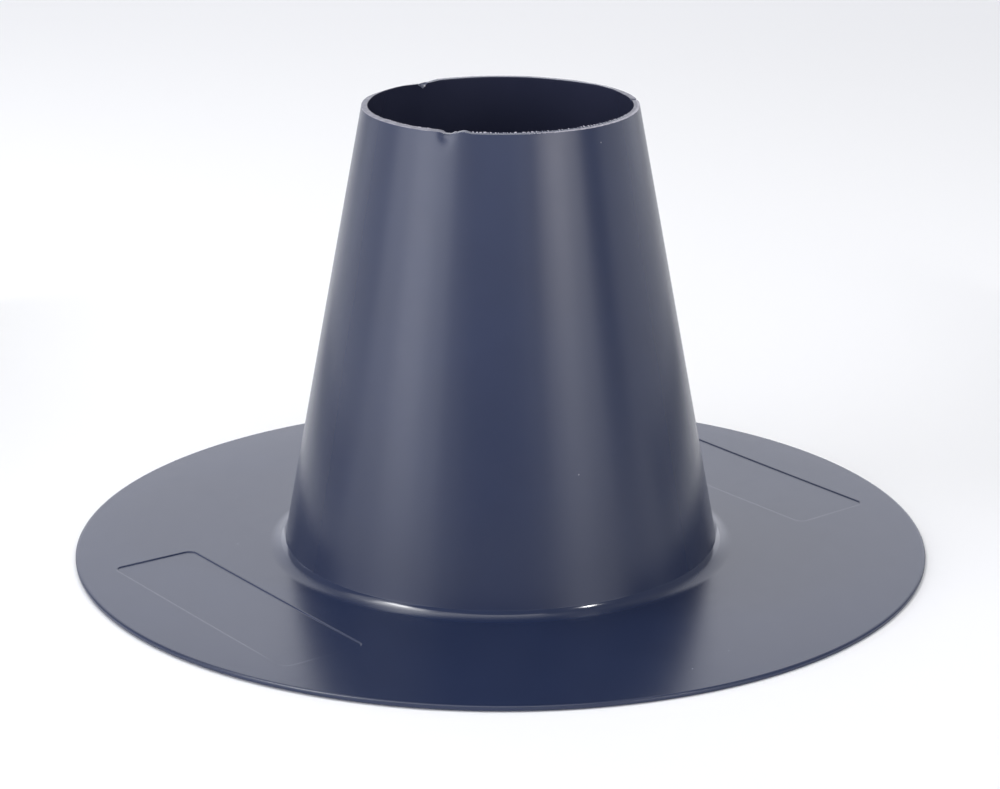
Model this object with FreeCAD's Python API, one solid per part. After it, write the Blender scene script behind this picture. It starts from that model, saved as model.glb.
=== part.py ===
import FreeCAD, Part
import math
import os

# Pipe sealing collar: a conical sleeve that grips a pipe, standing on a thin round flange.
# It is one moulding of even wall. The origin is the centre of the flange's underside, +Z is up the sleeve.

# Driving dimensions, in millimetres and degrees
flange_diameter = 300.0
flange_thickness = 1.5
flange_edge_round = 0.35
collar_height = 157.6
sleeve_base_diameter = 154.0
sleeve_rim_diameter = 94.6
sleeve_wall = 2.0
base_fillet_radius = 9.0
base_crease_turn = 50.0
underside_fillet_radius = 8.0

# Scars left on the rim where the moulding gates were cut off
scar_count = 3
scar_first_angle = 8.7
scar_floor_width = 2.0
scar_depth = 0.9
scar_side_angle = 60.0

# Shallow marking panels, sunk in the flange's upper face on opposite sides
panel_count = 2
panel_first_angle = 37.0
panel_span_angle = 46.0
panel_edge_margin = 12.5
panel_fillet_margin = 13.3
panel_corner_radius = 3.0
panel_depth = 0.35

# How far a cutting solid reaches past the face that it cuts
cut_overrun = 1.0

# Sizes that follow from those above
flange_radius = flange_diameter / 2
base_radius = sleeve_base_diameter / 2
rim_radius = sleeve_rim_diameter / 2
half_angle = math.atan2(base_radius - rim_radius, collar_height)
crease_turn = math.radians(base_crease_turn)
wall_across = sleeve_wall / math.cos(half_angle)


def point(radius, height):
    """A point of the section, in the half plane through the axis at +X."""
    return FreeCAD.Vector(radius, 0, height)


def blend(line_radius, face_height, radius, start_turn):
    """Arc from a sleeve line to a level flange face, on which it runs out.

    line_radius is where the sleeve line meets the underside's plane. start_turn is how far the arc's surface
    faces upward where it leaves the sleeve: with half_angle it leaves smoothly, with more it leaves at a crease.
    """
    start_height = face_height + radius * (1 - math.sin(start_turn))
    on_sleeve = point(line_radius - start_height * math.tan(half_angle), start_height)
    centre = on_sleeve + point(math.cos(start_turn), math.sin(start_turn)) * radius
    middle_turn = (math.pi / 2 + start_turn) / 2
    toward_middle = point(math.cos(middle_turn), math.sin(middle_turn))
    return on_sleeve, centre - toward_middle * radius, centre - point(0, radius)


def edge_round(face_height, side):
    """Quarter arc at the flange's outer edge; side is +1 on the upper face and -1 on the underside."""
    centre = point(flange_radius - flange_edge_round, face_height - side * flange_edge_round)
    diagonal = flange_edge_round * math.sqrt(0.5)
    on_face = centre + point(0, side * flange_edge_round)
    on_rim = centre + point(flange_edge_round, 0)
    return on_face, centre + point(diagonal, side * diagonal), on_rim


def collar_body():
    """The section turned about the axis: sleeve, flange, and the blends that join them on both sides."""
    outer_blend = blend(base_radius, flange_thickness, base_fillet_radius, crease_turn)
    inner_blend = blend(base_radius - wall_across, 0, underside_fillet_radius, half_angle)
    upper_edge = edge_round(flange_thickness, 1)
    lower_edge = edge_round(0, -1)
    rim_outside = point(rim_radius, collar_height)
    rim_inside = point(rim_radius - wall_across, collar_height)
    section = [
        Part.LineSegment(rim_outside, outer_blend[0]),
        Part.Arc(*outer_blend),
        Part.LineSegment(outer_blend[2], upper_edge[0]),
        Part.Arc(*upper_edge),
        Part.LineSegment(upper_edge[2], lower_edge[2]),
        Part.Arc(lower_edge[2], lower_edge[1], lower_edge[0]),
        Part.LineSegment(lower_edge[0], inner_blend[2]),
        Part.Arc(inner_blend[2], inner_blend[1], inner_blend[0]),
        Part.LineSegment(inner_blend[0], rim_inside),
        Part.LineSegment(rim_inside, rim_outside),
    ]
    wire = Part.Wire([curve.toShape() for curve in section])
    return Part.Face(wire).revolve(point(0, 0), FreeCAD.Vector(0, 0, 1), 360)


def turned(shape, angle):
    """The shape turned about the collar's axis, from +X towards +Y."""
    copy = shape.copy()
    copy.rotate(point(0, 0), FreeCAD.Vector(0, 0, 1), angle)
    return copy


def scar_cutter():
    """Nick with a flat floor and sloping sides, cut right through the rim's wall at +X."""
    half_floor = scar_floor_width / 2
    cut_height = scar_depth + cut_overrun
    half_mouth = half_floor + cut_height * math.tan(math.radians(scar_side_angle))
    start = rim_radius - wall_across - cut_overrun
    floor_height = collar_height - scar_depth
    top = floor_height + cut_height
    outline = Part.makePolygon([
        FreeCAD.Vector(start, -half_floor, floor_height),
        FreeCAD.Vector(start, half_floor, floor_height),
        FreeCAD.Vector(start, half_mouth, top),
        FreeCAD.Vector(start, -half_mouth, top),
        FreeCAD.Vector(start, -half_floor, floor_height),
    ])
    reach = wall_across + 2 * cut_overrun + scar_depth * math.tan(half_angle)
    return Part.Face(outline).extrude(point(reach, 0))


def panel_cutter():
    """Round-cornered block that sinks one panel at +X, between the base fillet and the flange's edge."""
    corner_reach = flange_radius - panel_edge_margin
    half_span = math.radians(panel_span_angle / 2)
    length = 2 * corner_reach * math.sin(half_span)
    outer_side = corner_reach * math.cos(half_span)
    fillet_foot = blend(base_radius, flange_thickness, base_fillet_radius, crease_turn)[2]
    inner_side = fillet_foot.x + panel_fillet_margin
    corner = FreeCAD.Vector(inner_side, -length / 2, flange_thickness - panel_depth)
    block = Part.makeBox(outer_side - inner_side, length, panel_depth + cut_overrun, corner)
    upright = [edge for edge in block.Edges if edge.tangentAt(edge.FirstParameter).x == 0
               and edge.tangentAt(edge.FirstParameter).y == 0]
    return block.makeFillet(panel_corner_radius, upright)


collar = collar_body()
for number in range(scar_count):
    collar = collar.cut(turned(scar_cutter(), scar_first_angle + number * 360 / scar_count))
for number in range(panel_count):
    collar = collar.cut(turned(panel_cutter(), panel_first_angle + number * 360 / panel_count))
collar = collar.removeSplitter()

os.makedirs("parts", exist_ok=True)
collar.exportStep("parts/sealing_collar.step")
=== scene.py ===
import math
import random

import bpy
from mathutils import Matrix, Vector, geometry, noise


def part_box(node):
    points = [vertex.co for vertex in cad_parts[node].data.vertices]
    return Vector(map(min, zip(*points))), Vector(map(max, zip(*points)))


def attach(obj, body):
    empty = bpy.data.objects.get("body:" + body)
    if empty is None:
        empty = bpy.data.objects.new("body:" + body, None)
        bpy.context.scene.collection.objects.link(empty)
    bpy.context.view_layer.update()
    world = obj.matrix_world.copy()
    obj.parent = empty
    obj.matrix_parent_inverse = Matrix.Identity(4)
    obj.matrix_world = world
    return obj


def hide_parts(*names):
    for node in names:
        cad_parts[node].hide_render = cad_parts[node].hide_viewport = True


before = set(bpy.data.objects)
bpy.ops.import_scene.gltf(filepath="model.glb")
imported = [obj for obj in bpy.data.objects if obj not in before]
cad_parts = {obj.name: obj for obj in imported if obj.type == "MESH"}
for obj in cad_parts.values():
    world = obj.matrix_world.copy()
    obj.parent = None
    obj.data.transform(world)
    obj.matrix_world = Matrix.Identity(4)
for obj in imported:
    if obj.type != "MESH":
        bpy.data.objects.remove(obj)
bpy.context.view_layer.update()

NODE = "sealing_collar"
MM = 0.001

# Form of the collar, in millimetres: the outline comes from the frame, the section from the wall and blends
_, node_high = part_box(NODE)
FLANGE_RADIUS = node_high.x / MM
HEIGHT = node_high.z / MM
FLANGE_THICKNESS = 1.5
FLANGE_EDGE_ROUND = 0.35
EDGE_BEVEL = 0.5
EDGE_SLOPE = math.radians(30)
BASE_RADIUS = 77.0
RIM_RADIUS = 47.3
WALL = 2.0
FOOT_FILLET = 8.8
FOOT_TURN = math.radians(46)
FOOT_CORNER = 0.15
UNDERSIDE_FILLET = 8.0
HALF_ANGLE = math.atan2(BASE_RADIUS - RIM_RADIUS, HEIGHT)
WALL_ACROSS = WALL / math.cos(HALF_ANGLE)

# The thin flange is not quite flat: two opposite quarters of it lift, more and more from WARP_START outward,
# and its upper face dips a little towards the sleeve's foot
WARP_LIFT = 0.25
WARP_ANGLE = 45.0
WARP_START = 88.0
WARP_END = 1.6 * FLANGE_RADIUS
FOOT_DIP = 0.7

# Shallow panels sunk in the flange; each step of their edge is how far outside their line, and how far down
PANEL_ANGLES = (37.0, 217.0)
PANEL_INNER = 95.4
PANEL_OUTER = 126.5
PANEL_HALF_LENGTH = 53.8
PANEL_CORNER = 3.0
PANEL_DEPTH = 0.35
PANEL_STEPS = ((0.8, 0.0), (0.48, 0.0), (0.28, 0.02), (0.12, 0.065), (0.02, 0.125), (-0.04, 0.27),
               (-0.08, 0.325), (-0.17, PANEL_DEPTH), (-0.6, PANEL_DEPTH))

# Rim, trimmed by knife: a wavy cut, a little lower in front, where burr fringes its inner edge. The faces
# below follow its waves and scars, which fade over CUT_FADE
CUT_TILT = 0.0065
CUT_WAVE = 0.10
CUT_GRAIN = 0.05
CUT_ROLL = 0.14
CUT_FADE = 1.5
FRONT_BEVEL = 0.15
FRONT_FADE = (0.05, 0.75)
BURR_HEIGHT = 0.43
BURR_JAG = 0.13
BURR_LEAN = 0.35
TOOTH = 0.15
RIM_SEED = 7

# How finely the cut varies round the rim
WAVE_FINENESS = 4.0
GRAIN_FINENESS = 60.0
PATCH_FINENESS = 9.0
TOOTH_FINENESS = 92.0

# Where the knife ran low or high at the back, in degrees from +X towards +Y: each span is where it starts,
# is full, begins to fade and ends
LOW_OUTER = (117, 124, 148, 172)
LOW_OUTER_DROP = 0.55
LOW_INNER = (117, 123, 128, 142)
LOW_INNER_DROP = 0.45
HIGH_INNER = ((22, 29, 42, 55), (144, 153, 164, 178))
HIGH_INNER_RISE = 0.22

# Scars where the gates were cut off: directions in the same degrees, spans in millimetres along the rim
FRONT_SCAR = 248.0
FRONT_SCAR_SPAN = (-2.3, -0.5, 0.8, 3.0)
FRONT_SCAR_DEPTH = 0.45
BACK_SCAR = 127.3
BACK_SCAR_HALF_WIDTH = 2.4
BACK_SCAR_DEPTH = 0.3
BACK_SCAR_SLOPE = 1.6
RIGHT_SCAR = 10.0
RIGHT_SCAR_SPAN = (-1.9, 0.3, 0.6, 1.0)
RIGHT_SCAR_DEPTH = 0.9
SCAR_BARE = 0.45

# Smooth lips beside the front scar, and the dent in the outer face below it
LEFT_LIP_SPAN = (-8.0, -5.0, -3.4, -2.0)
LEFT_LIP_HEIGHT = 0.14
RIGHT_LIP_SPAN = (3.0, 5.6, 6.2, 8.8)
RIGHT_LIP_HEIGHT = 0.58
DENT_DEPTH = 0.62
DENT_BESIDE = -0.5
DENT_BELOW = 1.2
DENT_HALF_WIDTH = 2.3
DENT_HALF_HEIGHT = 2.6

# Stretches of the rim, in the same degrees: where the cut's outer third and its outer edge are paler, and
# where the cut is clean and dark, at the back and in front between the burr's teeth
PALE_THIRD = (286.0, 372.0)
PALE_EDGE = (296.0, 598.0)
CLEAN_BACK = (32.0, 150.0)
CLEAN_FRONT = (252.0, 334.0)
STRETCH_BLUR = 14.0

# Fineness of the mesh: segments round the axis, steps along each arc, and from which angle an edge is sharp
SEGMENTS = 1080
FOOT_STEPS = 20
FILLET_STEPS = 8
CORNER_STEPS = 4
EDGE_STEPS = 4
PANEL_CORNER_STEPS = 10
PANEL_SIDE_STEPS = (8, 24)
SHARP_ANGLE = math.radians(50)

# Rings between the arcs, in millimetres: radii under the flange, heights on the sleeve, depths below the rim
UNDERSIDE_RADII = (140, 125, 110, 98)
INNER_HEIGHTS = (60, 120, HEIGHT - 8, HEIGHT - 3.5)
INNER_DEPTHS = (1.6, 0.6, 0.06)
OUTER_DEPTHS = (0.6, 1.1, 1.7, 2.4, 3.2, 4.3, 6.0, 9.0)
OUTER_HEIGHTS = (120, 60, 20)
FOOT_LEADS = (2.0, 0.5)
BORDER_STRIP = 0.4

# Loose points on the upper face: radius and count of each circle, and how far they keep off the panels
SEED_CIRCLES = ((86, 300), (91, 180), (98, 160), (108, 150), (118, 150), (128, 160), (137, 190), (144, 300))
SEED_CLEARANCE = 2.5

# Numbers of the finishes, in the order of the collar's materials, and which rings of the foot are polished
SATIN, CUT, WHITENED, INSIDE_PAINTED_FILL, POLISHED = range(5)
POLISHED_RINGS = (3, 12)

# Finishes: linear colours, sheen, and the specks of dust in metres
DARK_NAVY = (0.0136, 0.0215, 0.0545)
LIGHT_NAVY = (0.0146, 0.0232, 0.0589)
# Inner face's colours, greyer and lighter than the navy outside: painted light that brightens the shaded
# inside of the sleeve
INSIDE_PAINTED_FILL_DARK = (0.025, 0.028, 0.052)
INSIDE_PAINTED_FILL_LIGHT = (0.0295, 0.0325, 0.059)
CUT_DARK = (0.14, 0.14, 0.17)
CUT_LIGHT = (0.24, 0.24, 0.28)
WHITENED_DARK = (0.25, 0.24, 0.28)
WHITENED_LIGHT = (0.40, 0.39, 0.44)
SCUFF_COLOUR = (0.05, 0.055, 0.08)
SCUFF_SHARE = 0.12
DUST_COLOUR = (0.15, 0.16, 0.19)
SPECK_SPACING = 0.007
SPECK_SIZE = 0.00027
SPECK_SHARE = 0.25
PLASTIC_IOR = 1.5
ROUGHNESS = 0.26
FOOT_ROUGHNESS = 0.115
ROUGHNESS_SPREAD = 0.012
CUT_ROUGHNESS = 0.6
MATT_ROUGHNESS = 0.9

# Stage, in metres
FLOOR_HALF = 6.0
FLOOR_DROP = 0.0003
FLOOR_GREY = 0.85
FRONT_CARD_PLACE = -1.25
FRONT_CARD_WIDTH = 1.8
FRONT_CARD_HEIGHT = 0.12
FRONT_CARD_GREY = 0.03
SIDE_CARD_NEAR = -0.03
SIDE_CARD_FAR = 0.3
SIDE_CARD_HEIGHT = 0.035

# Light: strength of the surround, tints, and heights in metres
SURROUND = 0.36
WHITE = (1, 1, 1)
COOL = (0.98, 1.0, 1.1)
WARM = (1, 0.965, 0.975)
BLUISH = (0.93, 1.0, 1.28)
CEILING = 1.2
LAMP_TARGET = 0.05

# Camera, in metres and degrees, with its focal length and the picture's width in pixels
CAMERA_PLACE = (-0.00019, -0.94151, 0.35436)
CAMERA_ELEVATION = 17.696
FOCAL_PIXELS = 2816.6
FRAME_PIXELS = 1000
SENSOR = 36.0

random.seed(RIM_SEED)


def smooth(edge_low, edge_high, value):
    """Smooth step from 0 at edge_low to 1 at edge_high."""
    share = min(1.0, max(0.0, (value - edge_low) / (edge_high - edge_low)))
    return share * share * (3 - 2 * share)


def hump(span, value):
    """1 in the full part of a span, running out smoothly to 0 at its start and end."""
    start, full, fading, end = span
    return smooth(start, full, value) * (1 - smooth(fading, end, value))


def segment_angle(index):
    """Direction of a segment of the rings, in degrees from +X towards +Y."""
    return 360 * index / SEGMENTS


def around(angle, centre):
    """Signed distance along the rim, in millimetres, from the direction centre, both in degrees."""
    return math.radians((angle - centre + 180) % 360 - 180) * RIM_RADIUS


def scar_drop(angle, share):
    """How far the rim is cut away; share runs from 0 at the cut's outer edge to 1 at its inner edge."""
    drop = (FRONT_SCAR_DEPTH + FRONT_BEVEL * share) * hump(FRONT_SCAR_SPAN, around(angle, FRONT_SCAR))
    back = 1 - abs(around(angle, BACK_SCAR)) / BACK_SCAR_HALF_WIDTH
    drop += max(0.0, back) * (BACK_SCAR_DEPTH + BACK_SCAR_SLOPE * share)
    drop += RIGHT_SCAR_DEPTH * hump(RIGHT_SCAR_SPAN, around(angle, RIGHT_SCAR))
    return drop


def scar_lip(angle):
    """Height of the smooth lips that stand beside the front scar."""
    front = around(angle, FRONT_SCAR)
    return LEFT_LIP_HEIGHT * hump(LEFT_LIP_SPAN, front) + RIGHT_LIP_HEIGHT * hump(RIGHT_LIP_SPAN, front)


def dent(index, depth):
    """How far the outer face is dented below the front scar, at a depth below the rim."""
    beside = (around(segment_angle(index), FRONT_SCAR) - DENT_BESIDE) / DENT_HALF_WIDTH
    below = (depth - DENT_BELOW) / DENT_HALF_HEIGHT
    return DENT_DEPTH * math.exp(-(beside ** 2) - (below ** 2))


def burr_height(angle, direction, front):
    """Height of the burr: teeth in patches, mostly in front, lower at the left, none at scars and lips."""
    patch = 0.65 + 0.5 * noise.noise(direction * PATCH_FINENESS + Vector((3, 1, 0)))
    tooth = smooth(-0.1, 0.3, noise.noise(direction * TOOTH_FINENESS + Vector((0, 5, 2))))
    calm = 1 - min(1.0, scar_drop(angle, 1) * 3 + scar_lip(angle) * 4)
    ragged = calm * (0.05 + 0.95 * front) * (0.62 + 0.38 * smooth(-0.55, -0.1, direction.x))
    return ragged * (BURR_HEIGHT * patch * tooth + BURR_JAG * random.random())


def rim_profile():
    """For each segment of the rim: rise of the cut's outer and inner edges, and the burr on the latter."""
    rows = []
    for index in range(SEGMENTS):
        angle = segment_angle(index)
        direction = Vector((math.cos(math.radians(angle)), math.sin(math.radians(angle)), 0))
        front = smooth(*FRONT_FADE, -direction.y)
        wave = CUT_TILT * RIM_RADIUS * direction.y + CUT_WAVE * noise.noise(direction * WAVE_FINENESS)
        grain = CUT_GRAIN * noise.noise(direction * GRAIN_FINENESS)
        lip = scar_lip(angle)
        outer = wave + grain + lip - scar_drop(angle, 0) - LOW_OUTER_DROP * hump(LOW_OUTER, angle)
        inner = wave - grain + lip + FRONT_BEVEL * front - scar_drop(angle, 1)
        inner += HIGH_INNER_RISE * sum(hump(span, angle) for span in HIGH_INNER)
        inner -= LOW_INNER_DROP * hump(LOW_INNER, angle)
        rows.append((outer, inner, burr_height(angle, direction, front)))
    return rows


def knifed(stretch, pale, plain, clean_end):
    """Finish by segment: pale in a stretch, else plain, and satin on a scar's floor or a clean cut.

    clean_end is where the clean cut in front ends, in degrees. The ends of all stretches are blurred.
    """
    def pick(index):
        angle = segment_angle(index) + STRETCH_BLUR * (random.random() - 0.5)
        bare = scar_drop(segment_angle(index), 1) > SCAR_BARE
        if bare or CLEAN_BACK[0] < angle < CLEAN_BACK[1] or CLEAN_FRONT[0] < angle < clean_end:
            return SATIN
        return pale if (angle - stretch[0]) % 360 < stretch[1] - stretch[0] else plain
    return pick


def sleeve_radius(height, inside):
    """Radius of the sleeve's outer or inner face at a height, before its blends."""
    outer = BASE_RADIUS - height * math.tan(HALF_ANGLE)
    return outer - WALL_ACROSS if inside else outer


def blend_arc(line_radius, face_height, radius, start_turn, steps):
    """Section points of the arc from a sleeve line to a level face, on which it runs out.

    start_turn is how far the arc's surface faces upward where it leaves the sleeve.
    """
    start_height = face_height + radius * (1 - math.sin(start_turn))
    centre_radius = line_radius - start_height * math.tan(HALF_ANGLE) + radius * math.cos(start_turn)
    points = []
    for step in range(steps + 1):
        turn = start_turn + (math.pi / 2 - start_turn) * step / steps
        points.append((centre_radius - radius * math.cos(turn),
                       face_height + radius * (1 - math.sin(turn))))
    return points


def underside_section():
    """Section points from the flange's outer edge along its underside and over the blend to the sleeve."""
    edge = []
    for step in range(EDGE_STEPS + 1):
        turn = math.pi / 2 * (1 - step / EDGE_STEPS)
        edge.append((FLANGE_RADIUS - FLANGE_EDGE_ROUND * (1 - math.sin(turn)),
                     FLANGE_EDGE_ROUND * (1 - math.cos(turn))))
    arc = blend_arc(BASE_RADIUS - WALL_ACROSS, 0, UNDERSIDE_FILLET, HALF_ANGLE, FILLET_STEPS)
    arc.reverse()
    flat = (FLANGE_RADIUS - FLANGE_EDGE_ROUND - BORDER_STRIP, *UNDERSIDE_RADII, arc[0][0] + BORDER_STRIP)
    return edge + [(radius, 0) for radius in flat] + arc


def foot_section():
    """Section points of the sleeve's foot, which breaks at a tight corner into a hollow on the flange."""
    face_height = FLANGE_THICKNESS - FOOT_DIP
    arc = blend_arc(BASE_RADIUS, face_height, FOOT_FILLET, FOOT_TURN, FOOT_STEPS)
    crease_radius, crease_height = arc[0]
    middle = (HALF_ANGLE + FOOT_TURN) / 2
    reach = FOOT_CORNER / math.cos((FOOT_TURN - HALF_ANGLE) / 2)
    centre_radius = crease_radius + reach * math.cos(middle)
    centre_height = crease_height + reach * math.sin(middle)
    corner = []
    for step in range(CORNER_STEPS + 1):
        turn = HALF_ANGLE + (FOOT_TURN - HALF_ANGLE) * step / CORNER_STEPS
        corner.append((centre_radius - FOOT_CORNER * math.cos(turn),
                       centre_height - FOOT_CORNER * math.sin(turn)))
    leads = [(sleeve_radius(crease_height + lead, False), crease_height + lead) for lead in FOOT_LEADS]
    return leads + corner + arc[1:] + [(arc[-1][0] + BORDER_STRIP, face_height)]


def edge_section():
    """Section points of the flange's outer edge, from its upper face over a bevel to the lower round."""
    bevel_start = FLANGE_RADIUS - FLANGE_EDGE_ROUND * (1 - math.sin(EDGE_SLOPE)) - EDGE_BEVEL
    bevel_end = FLANGE_THICKNESS - EDGE_BEVEL * math.tan(EDGE_SLOPE)
    round_centre = bevel_end - FLANGE_EDGE_ROUND * math.cos(EDGE_SLOPE)
    points = [(bevel_start - BORDER_STRIP, FLANGE_THICKNESS), (bevel_start, FLANGE_THICKNESS)]
    for step in range(EDGE_STEPS + 1):
        turn = EDGE_SLOPE + (math.pi / 2 - EDGE_SLOPE) * step / EDGE_STEPS
        points.append((FLANGE_RADIUS - FLANGE_EDGE_ROUND * (1 - math.sin(turn)),
                       round_centre + FLANGE_EDGE_ROUND * math.cos(turn)))
    return points


def flange_warp(x, y):
    """Lift of the flange at a place, in millimetres."""
    share = smooth(WARP_START, WARP_END, math.hypot(x, y)) / smooth(WARP_START, WARP_END, FLANGE_RADIUS)
    return WARP_LIFT * share * math.cos(2 * (math.atan2(y, x) - math.radians(WARP_ANGLE)))


def face_dip(x, y, start):
    """How far the flange's upper face lies below its edge; start is the radius where the face begins."""
    return FOOT_DIP * (1 - smooth(0, FLANGE_RADIUS - start, math.hypot(x, y) - start))


def within(place, outline):
    """Whether a place lies within a closed outline."""
    x, y = place
    found = False
    for (x0, y0), (x1, y1) in zip(outline, outline[1:] + outline[:1]):
        if (y0 > y) != (y1 > y) and x < (x1 - x0) * (y - y0) / (y1 - y0) + x0:
            found = not found
    return found


def between(place, outlines):
    """Whether a place lies within the first outline and outside the others."""
    return within(place, outlines[0]) and not any(within(place, outline) for outline in outlines[1:])


class Mesher:
    """Collects vertices and faces of the collar, in millimetres."""

    def __init__(self):
        self.points = []
        self.faces = []
        self.finish = {}

    def ring(self, radius, height):
        """A ring; radius and height are numbers or functions of the segment's index."""
        first = len(self.points)
        for index in range(SEGMENTS):
            turn = 2 * math.pi * index / SEGMENTS
            reach = radius(index) if callable(radius) else radius
            level = height(index) if callable(height) else height
            self.points.append((reach * math.cos(turn), reach * math.sin(turn), level))
        return first

    def bridge(self, first, second, finish=SATIN):
        """Quads between two rings, facing outward when second lies after first in the section.

        finish is the number of a finish, or a function that gives it for a segment's index.
        """
        for index in range(SEGMENTS):
            after = (index + 1) % SEGMENTS
            self.finish[len(self.faces)] = finish(index) if callable(finish) else finish
            self.faces.append((first + index, second + index, second + after, first + after))

    def loop(self, outline, height):
        """A closed outline of flat points at one height."""
        first = len(self.points)
        self.points.extend((x, y, height) for x, y in outline)
        return list(range(first, first + len(outline)))

    def skirt(self, upper, lower):
        """Quads between two outlines of the same count."""
        count = len(upper)
        for index in range(count):
            after = (index + 1) % count
            self.faces.append((upper[index], upper[after], lower[after], lower[index]))

    def fill(self, borders, seeds=()):
        """Level region between closed borders, of which the first is the outermost, with seeds inside."""
        flat = []
        owner = []
        edges = []
        for border in borders:
            start = len(flat)
            flat.extend(Vector(self.points[v][:2]) for v in border)
            owner.extend(border)
            edges.extend((start + k, start + (k + 1) % len(border)) for k in range(len(border)))
        for seed in seeds:
            owner.append(len(self.points))
            self.points.append(seed)
            flat.append(Vector(seed[:2]))
        outlines = [[self.points[v][:2] for v in border] for border in borders]
        places, _, triangles, original, _, _ = geometry.delaunay_2d_cdt(flat, edges, [], 2, 1e-7)
        for triangle in triangles:
            middle = sum((places[v] for v in triangle), Vector((0, 0))) / 3
            if between(middle, outlines):
                self.faces.append(tuple(owner[original[v][0]] for v in triangle))

    def raise_by(self, lift, first=0):
        """Raises the vertices from first on by a lift, which is a function of their place."""
        self.points[first:] = [(x, y, z + lift(x, y)) for x, y, z in self.points[first:]]


def rim_ring(mesh, rim, depth, inside):
    """A ring of the outer or inner face near the rim, which follows the cut so that scars have depth."""
    side = 1 if inside else 0

    def height(index):
        return HEIGHT - depth + rim[index][side] * math.exp(-depth / CUT_FADE)

    def radius(index):
        face = sleeve_radius(height(index), inside)
        return face if inside else face - dent(index, depth)

    return mesh.ring(radius, height)


def inner_rings(mesh, rim):
    """Rings under the flange and up the inner face, each with the finish of the strip before it."""
    rings = [(mesh.ring(radius, height), SATIN) for radius, height in underside_section()]
    # The inner face takes the lighter inside navy: painted light in the shaded inside of the sleeve
    rings += [(mesh.ring(sleeve_radius(height, True), height), INSIDE_PAINTED_FILL) for height in INNER_HEIGHTS]
    rings += [(rim_ring(mesh, rim, depth, True), INSIDE_PAINTED_FILL) for depth in INNER_DEPTHS]
    return rings


def cut_rings(mesh, rim):
    """Rings of the burr and then across the cut, each with the finish of the strip before it."""
    inner_part = knifed(PALE_THIRD, CUT, CUT, CLEAN_FRONT[1])
    outer_third = knifed(PALE_THIRD, WHITENED, CUT, PALE_THIRD[0])
    top_outer = sleeve_radius(HEIGHT, False)
    top_inner = sleeve_radius(HEIGHT, True)

    def fringe(index):
        """Finish of the burr: its teeth are whitened, the rest is as the cut beside it."""
        return WHITENED if rim[index][2] > TOOTH else inner_part(index)

    def cut_height(share):
        """Height of the cut between its outer edge, share 0, and its inner edge, share 1."""
        return lambda index: HEIGHT + rim[index][0] * (1 - share) + rim[index][1] * share

    burr = mesh.ring(lambda index: top_inner - rim[index][2] * BURR_LEAN,
                     lambda index: HEIGHT + rim[index][1] + rim[index][2])
    rings = [(burr, fringe)]
    for share, finish in ((0.82, fringe), (0.6, inner_part), (0.4, inner_part), (0.18, outer_third),
                          (0.01, outer_third)):
        rings.append((mesh.ring(top_outer + (top_inner - top_outer) * share, cut_height(share)), finish))
    return rings


def outer_rings(mesh, rim):
    """Rings down the outer face and over the foot, each with the finish of the strip before it."""
    outer_edge = knifed(PALE_EDGE, WHITENED, CUT, PALE_EDGE[0])
    rings = [(rim_ring(mesh, rim, depth, False), outer_edge) for depth in (CUT_ROLL * 0.4, CUT_ROLL)]
    rings += [(rim_ring(mesh, rim, depth, False), SATIN) for depth in OUTER_DEPTHS]
    rings += [(mesh.ring(sleeve_radius(height, False), height), SATIN) for height in OUTER_HEIGHTS]
    for count, (radius, height) in enumerate(foot_section()):
        finish = POLISHED if POLISHED_RINGS[0] <= count <= POLISHED_RINGS[1] else SATIN
        rings.append((mesh.ring(radius, height), finish))
    return rings


def panel_outline(angle, grow):
    """Rounded outline of a panel, grown outward by grow."""
    turn = math.radians(angle)
    radial = Vector((math.cos(turn), math.sin(turn)))
    along = Vector((-math.sin(turn), math.cos(turn)))
    centre = radial * (PANEL_INNER + PANEL_OUTER) / 2
    half_width = (PANEL_OUTER - PANEL_INNER) / 2 - PANEL_CORNER
    half_length = PANEL_HALF_LENGTH - PANEL_CORNER
    reach = PANEL_CORNER + grow
    corners = ((1, 1), (-1, 1), (-1, -1), (1, -1))
    outline = []
    for quarter, (out, length) in enumerate(corners):
        middle = centre + radial * (out * half_width) + along * (length * half_length)
        for step in range(PANEL_CORNER_STEPS + 1):
            bend = math.radians(90 * (quarter + step / PANEL_CORNER_STEPS))
            outline.append(middle + radial * (reach * math.cos(bend)) + along * (reach * math.sin(bend)))
        next_out, next_length = corners[(quarter + 1) % 4]
        shift = radial * ((next_out - out) * half_width) + along * ((next_length - length) * half_length)
        start = outline[-1]
        count = PANEL_SIDE_STEPS[quarter % 2]
        outline.extend(start + shift * (step / count) for step in range(1, count))
    return [tuple(place) for place in outline]


def sunk_panel(mesh, angle):
    """One panel's rounded edge and floor; gives its border on the upper face."""
    loops = [mesh.loop(panel_outline(angle, grow), FLANGE_THICKNESS - drop) for grow, drop in PANEL_STEPS]
    for upper, lower in zip(loops, loops[1:]):
        mesh.skirt(upper, lower)
    mesh.fill([loops[-1]])
    return loops[0]


def face_seeds():
    """Loose points on the upper face, clear of the panels."""
    keep_out = [panel_outline(angle, SEED_CLEARANCE) for angle in PANEL_ANGLES]
    seeds = []
    for radius, count in SEED_CIRCLES:
        for index in range(count):
            turn = 2 * math.pi * index / count
            place = (radius * math.cos(turn), radius * math.sin(turn))
            if not any(within(place, outline) for outline in keep_out):
                seeds.append((*place, FLANGE_THICKNESS))
    return seeds


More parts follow.
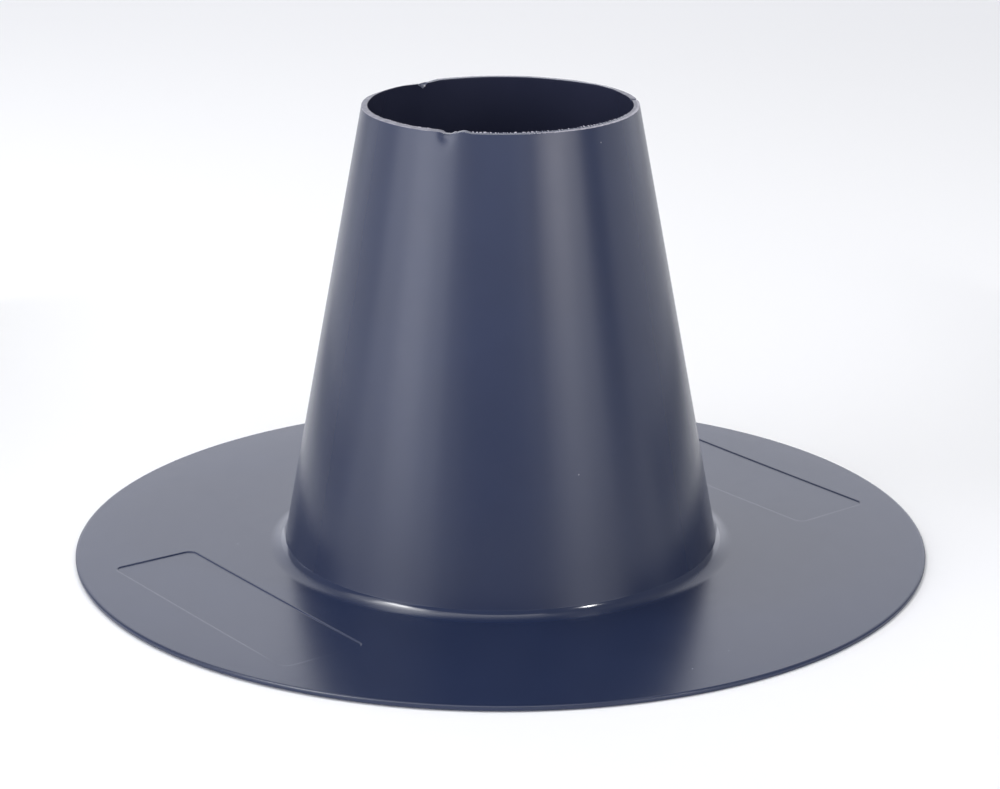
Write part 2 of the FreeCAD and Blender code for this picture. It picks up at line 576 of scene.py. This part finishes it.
def build_collar():
    """The whole moulding as one closed mesh."""
    mesh = Mesher()
    rim = rim_profile()
    rings = inner_rings(mesh, rim) + cut_rings(mesh, rim) + outer_rings(mesh, rim)
    for (first, _), (second, finish) in zip(rings, rings[1:]):
        mesh.bridge(first, second, finish)
    first_on_face = len(mesh.points)
    edge = [mesh.ring(radius, height) for radius, height in edge_section()]
    for first, second in zip(edge, edge[1:] + [rings[0][0]]):
        mesh.bridge(first, second)
    borders = [list(range(ring, ring + SEGMENTS)) for ring in (edge[0], rings[-1][0])]
    borders += [sunk_panel(mesh, angle) for angle in PANEL_ANGLES]
    mesh.fill(borders, face_seeds())
    face_start = foot_section()[-1][0]
    mesh.raise_by(lambda x, y: -face_dip(x, y, face_start), first_on_face)
    mesh.raise_by(flange_warp)
    return mesh


def collar_object(materials):
    """The moulding as an object with its finishes."""
    made = build_collar()
    data = bpy.data.meshes.new("collar")
    data.from_pydata([Vector(point) * MM for point in made.points], [], made.faces)
    for material in materials:
        data.materials.append(material)
    for polygon in data.polygons:
        polygon.use_smooth = True
        polygon.material_index = made.finish.get(polygon.index, SATIN)
    data.validate()
    piece = bpy.data.objects.new("collar_moulding", data)
    bpy.context.scene.collection.objects.link(piece)
    data.set_sharp_from_angle(angle=SHARP_ANGLE)
    return piece


def new_material(name):
    """A node material, its tree and its shader node."""
    material = bpy.data.materials.new(name)
    material.use_nodes = True
    return material, material.node_tree, material.node_tree.nodes["Principled BSDF"]


def add_noise(tree, scale, detail, stretch=(1, 1, 1)):
    """A noise texture in the object's own metres; gives its factor."""
    place = tree.nodes.new("ShaderNodeTexCoord")
    mapping = tree.nodes.new("ShaderNodeMapping")
    mapping.inputs["Scale"].default_value = stretch
    tree.links.new(place.outputs["Object"], mapping.inputs["Vector"])
    texture = tree.nodes.new("ShaderNodeTexNoise")
    texture.inputs["Scale"].default_value = scale
    texture.inputs["Detail"].default_value = detail
    tree.links.new(mapping.outputs["Vector"], texture.inputs["Vector"])
    return texture.outputs["Fac"]


def add_ramp(tree, factor, stops):
    """A colour ramp over a factor; stops are pairs of place and grey value or colour."""
    ramp = tree.nodes.new("ShaderNodeValToRGB")
    while len(ramp.color_ramp.elements) < len(stops):
        ramp.color_ramp.elements.new(0.5)
    for element, (place, colour) in zip(ramp.color_ramp.elements, stops):
        element.position = place
        element.color = (*colour, 1) if isinstance(colour, tuple) else (colour, colour, colour, 1)
    tree.links.new(factor, ramp.inputs["Fac"])
    return ramp.outputs["Color"]


def add_mix(tree, factor, first, second):
    """A mix by a factor from a colour output to a plain colour."""
    mix = tree.nodes.new("ShaderNodeMix")
    mix.data_type = "RGBA"
    tree.links.new(factor, mix.inputs["Factor"])
    tree.links.new(first, mix.inputs["A"])
    mix.inputs["B"].default_value = (*second, 1)
    return mix.outputs["Result"]


def add_bump(tree, shader, height, depth, strength):
    """A bump of a height factor on the shader's normal; depth in metres."""
    bump = tree.nodes.new("ShaderNodeBump")
    bump.inputs["Strength"].default_value = strength
    bump.inputs["Distance"].default_value = depth
    tree.links.new(height, bump.inputs["Height"])
    tree.links.new(bump.outputs["Normal"], shader.inputs["Normal"])


def add_specks(tree, spacing, size, rarity):
    """Factor of rare small specks: spacing and size in metres, rarity is the share of places left clean."""
    place = tree.nodes.new("ShaderNodeTexCoord")
    cells = tree.nodes.new("ShaderNodeTexVoronoi")
    cells.inputs["Scale"].default_value = 1 / spacing
    tree.links.new(place.outputs["Object"], cells.inputs["Vector"])
    near = tree.nodes.new("ShaderNodeMath")
    near.operation = "LESS_THAN"
    near.inputs[1].default_value = size / spacing
    tree.links.new(cells.outputs["Distance"], near.inputs[0])
    chosen = tree.nodes.new("ShaderNodeMath")
    chosen.operation = "GREATER_THAN"
    chosen.inputs[1].default_value = rarity
    tree.links.new(cells.outputs["Color"], chosen.inputs[0])
    both = tree.nodes.new("ShaderNodeMath")
    both.operation = "MULTIPLY"
    tree.links.new(near.outputs[0], both.inputs[0])
    tree.links.new(chosen.outputs[0], both.inputs[1])
    return both.outputs[0]


def satin_plastic(name, dark, light, roughness, wear):
    """Moulded plastic with a soft sheen and faint mottling; wear is the share of its scuffs and dust."""
    material, tree, shader = new_material(name)
    shader.inputs["IOR"].default_value = PLASTIC_IOR
    mottle = add_ramp(tree, add_noise(tree, 45, 4), [(0.3, dark), (0.7, light)])
    scuffs = add_ramp(tree, add_noise(tree, 9, 6, (60, 9, 9)), [(0.70, 0.0), (0.86, SCUFF_SHARE * wear)])
    scuffed = add_mix(tree, scuffs, mottle, SCUFF_COLOUR)
    specks = add_specks(tree, SPECK_SPACING, SPECK_SIZE, 1 - SPECK_SHARE * wear)
    tree.links.new(add_mix(tree, specks, scuffed, DUST_COLOUR), shader.inputs["Base Color"])
    sheen = add_ramp(tree, add_noise(tree, 160, 5), [(0.3, roughness - ROUGHNESS_SPREAD),
                                                     (0.7, roughness + ROUGHNESS_SPREAD)])
    tree.links.new(sheen, shader.inputs["Roughness"])
    add_bump(tree, shader, add_noise(tree, 1800, 3), 0.00003, 0.05)
    return material


def cut_plastic(name, dark, light):
    """Plastic that the knife has roughened and whitened."""
    material, tree, shader = new_material(name)
    shade = add_ramp(tree, add_noise(tree, 520, 4), [(0.35, dark), (0.65, light)])
    tree.links.new(shade, shader.inputs["Base Color"])
    shader.inputs["Roughness"].default_value = CUT_ROUGHNESS
    add_bump(tree, shader, add_noise(tree, 1500, 3), 0.0001, 0.5)
    return material


def matt_grey(name, grey):
    """A plain matt material."""
    material, tree, shader = new_material(name)
    shader.inputs["Base Color"].default_value = (grey, grey, grey, 1)
    shader.inputs["Roughness"].default_value = MATT_ROUGHNESS
    return material


def add_sheet(name, corners, grey):
    """A flat sheet of the stage with four corners."""
    data = bpy.data.meshes.new(name)
    data.from_pydata(corners, [], [(0, 1, 2, 3)])
    data.materials.append(matt_grey(name, grey))
    sheet = bpy.data.objects.new(name, data)
    bpy.context.scene.collection.objects.link(sheet)
    return sheet


def add_floor():
    """A broad level floor under the flange, which keeps a soft shadow."""
    sides = ((-1, -1), (1, -1), (1, 1), (-1, 1))
    add_sheet("floor", [(x * FLOOR_HALF, y * FLOOR_HALF, -FLOOR_DROP) for x, y in sides], FLOOR_GREY)


def add_card(name, first, second, height, grey):
    """An upright card on the floor between two places, out of the picture, which the collar mirrors."""
    card = add_sheet(name, [(*first, 0), (*second, 0), (*second, height), (*first, height)], grey)
    card.visible_camera = False


def add_front_card():
    """A low dark card behind the camera, which the sleeve's foot mirrors."""
    half = FRONT_CARD_WIDTH / 2
    add_card("front_card", (-half, FRONT_CARD_PLACE), (half, FRONT_CARD_PLACE), FRONT_CARD_HEIGHT,
             FRONT_CARD_GREY)


def add_side_card(name, place, grey):
    """A low card beside the collar, which the sleeve's flank mirrors."""
    add_card(name, (place, SIDE_CARD_NEAR), (place, SIDE_CARD_FAR), SIDE_CARD_HEIGHT, grey)


def add_panel(name, place, target, size, radiance, tint):
    """A soft rectangular light at a place, facing a target; size is its width and height in metres."""
    width, height = size
    light = bpy.data.lights.new(name, "AREA")
    light.shape = "RECTANGLE"
    light.size, light.size_y = size
    light.energy = math.pi * width * height * radiance
    light.color = tint
    lamp = bpy.data.objects.new(name, light)
    lamp.location = place
    lamp.rotation_euler = (target - place).to_track_quat("-Z", "Y").to_euler()
    lamp.visible_camera = False
    bpy.context.scene.collection.objects.link(lamp)


def add_softbox(name, azimuth, distance, base, size, radiance, tint=COOL):
    """An upright soft light that faces the collar's axis.

    Azimuth is in degrees from the camera's side towards +X, base is the height of its lower edge.
    """
    turn = math.radians(azimuth)
    middle = Vector((0, 0, base + size[1] / 2))
    place = middle + distance * Vector((math.sin(turn), -math.cos(turn), 0))
    add_panel(name, place, middle, size, radiance, tint)


def add_lamp(name, azimuth, elevation, distance, size, radiance):
    """A square lamp that faces the collar's lower part from above."""
    turn, lift = math.radians(azimuth), math.radians(elevation)
    direction = Vector((math.sin(turn) * math.cos(lift), -math.cos(turn) * math.cos(lift), math.sin(lift)))
    add_panel(name, distance * direction, Vector((0, 0, LAMP_TARGET)), (size, size), radiance, WHITE)


def add_ceiling(name, place, size, radiance):
    """A level light above the collar, facing down; place is its middle."""
    above = Vector((*place, CEILING))
    add_panel(name, above, Vector((*place, 0)), size, radiance, WHITE)


def add_world():
    """Plain white surround, seen by the camera and in reflections."""
    world = bpy.data.worlds.new("studio")
    bpy.context.scene.world = world
    world.use_nodes = True
    surround = world.node_tree.nodes["Background"]
    surround.inputs["Color"].default_value = (*WHITE, 1)
    surround.inputs["Strength"].default_value = SURROUND


def add_camera():
    """Camera at the photograph's viewpoint."""
    camera = bpy.data.cameras.new("camera")
    camera.sensor_width = SENSOR
    camera.lens = SENSOR * FOCAL_PIXELS / FRAME_PIXELS
    holder = bpy.data.objects.new("camera", camera)
    holder.location = CAMERA_PLACE
    holder.rotation_euler = (math.radians(90 - CAMERA_ELEVATION), 0, 0)
    bpy.context.scene.collection.objects.link(holder)
    bpy.context.scene.camera = holder


bpy.context.scene.view_settings.view_transform = "Standard"
collar = collar_object([
    satin_plastic("satin_navy_plastic", DARK_NAVY, LIGHT_NAVY, ROUGHNESS, 1.0),
    cut_plastic("cut_plastic", CUT_DARK, CUT_LIGHT),
    cut_plastic("whitened_plastic", WHITENED_DARK, WHITENED_LIGHT),
    # Inside of the sleeve: lighter navy as painted light, and without scuffs or dust
    satin_plastic("inside_navy_painted_fill", INSIDE_PAINTED_FILL_DARK, INSIDE_PAINTED_FILL_LIGHT, ROUGHNESS, 0.0),
    satin_plastic("polished_navy_plastic", DARK_NAVY, LIGHT_NAVY, FOOT_ROUGHNESS, 1.0),
])
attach(collar, "root")
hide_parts(NODE)

# Stage and surround
add_floor()
add_world()
add_front_card()
add_side_card("left_card", -0.25, 0.6)
add_side_card("right_card", 0.25, 0.35)

# Soft lights round the collar, which the sleeve and the flange mirror
add_softbox("left_low", -62, 1.3, 0.01, (1.3, 0.27), 2.0)
add_softbox("left_low_core", -58, 1.28, 0.01, (0.45, 0.27), 1.5)
add_softbox("left_middle", -62, 1.3, 0.28, (1.3, 0.34), 3.45)
add_softbox("left_middle_core", -58, 1.28, 0.28, (0.5, 0.34), 0.5)
add_softbox("left_high", -62, 1.3, 0.62, (1.2, 0.8), 1.4)
add_softbox("left_inner_edge", -29, 1.32, 0.03, (0.38, 0.65), 0.8)
add_softbox("left_side", -110, 1.3, 0.01, (0.95, 0.6), 0.7)
add_softbox("right_low", 46, 1.3, 0.01, (0.85, 0.22), 1.5)
add_softbox("right_low_core", 44, 1.28, 0.01, (0.3, 0.22), 0.7)
add_softbox("right_middle", 46, 1.3, 0.23, (0.85, 0.3), 3.3, WARM)
add_softbox("right_middle_core", 43, 1.28, 0.23, (0.28, 0.3), 1.9, WARM)
add_softbox("right_high", 50, 1.3, 0.53, (0.8, 0.8), 0.5)
add_softbox("right_inner_edge", 20, 1.32, 0.03, (0.3, 0.65), 0.55)
add_softbox("right_side", 110, 1.3, 0.01, (1.4, 0.3), 0.85)
add_softbox("back_low", 180, 1.8, 0.02, (2.6, 0.6), 1.2)
add_softbox("back_high", 180, 1.8, 0.62, (2.6, 1.2), 0.9)
add_softbox("back_middle", 180, 1.78, 0.62, (2.6, 0.3), 0.12)
add_softbox("front_low", 0, 1.7, 0.18, (1.2, 0.4), 0.58, BLUISH)
add_softbox("front_high", 0, 1.7, 0.58, (1.2, 0.6), 2.5, BLUISH)

# Lamps above, which the foot's hollow mirrors
add_lamp("left_lamp", -110, 64, 1.6, 0.4, 5.4)
add_lamp("left_spot", -97, 62.5, 1.56, 0.2, 14)
add_lamp("right_spot", 79.0, 63.1, 1.62, 0.085, 130)
add_ceiling("top_left", (-0.5, 0.28), (0.3, 0.64), 2.6)
add_ceiling("top_far_left", (-0.8, 0.12), (0.3, 0.9), 1.3)
add_ceiling("top_strip", (-0.05, 0.21), (0.55, 0.52), 2.1)
add_camera()
